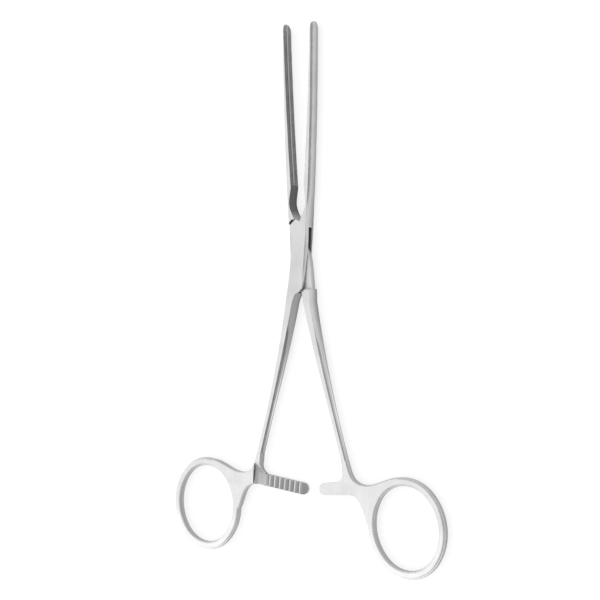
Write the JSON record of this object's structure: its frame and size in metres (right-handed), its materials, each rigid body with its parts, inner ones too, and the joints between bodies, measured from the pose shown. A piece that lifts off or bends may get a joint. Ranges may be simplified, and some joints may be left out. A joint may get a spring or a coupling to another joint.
{
  "type": "intestinal clamp",
  "caption": "Hand-held intestinal clamp: two slim bowed jaws with lengthwise grooves, a box lock, long shanks, finger rings and a toothed ratchet.",
  "frame": {"origin": "on the pivot's axis, in the flat underside of the lock", "axes": "+Y along the clamp towards the jaw tips, +Z along the pivot towards the face that the picture shows, +X towards the ring of the inner half"},
  "size_m": [0.12, 0.1989, 0.0052],
  "materials": {
    "outer_half_steel": "satin ground faces with a fine polish",
    "inner_half_steel": "satin ground faces with a fine polish",
    "pin_steel": "ground flush and satin"
  },
  "bodies": {
    "outer": {"outer_half": "outer_half_steel", "pivot_pin": "pin_steel"},
    "inner": {"inner_half": "inner_half_steel"}
  },
  "joints": [
    {"name": "lock_pivot", "type": "hinge", "parent": "outer", "child": "inner", "pos_m": [0, 0, 0.0026], "axis": [0, 0, 1], "range_deg": [-7.8, 50]}
  ]
}
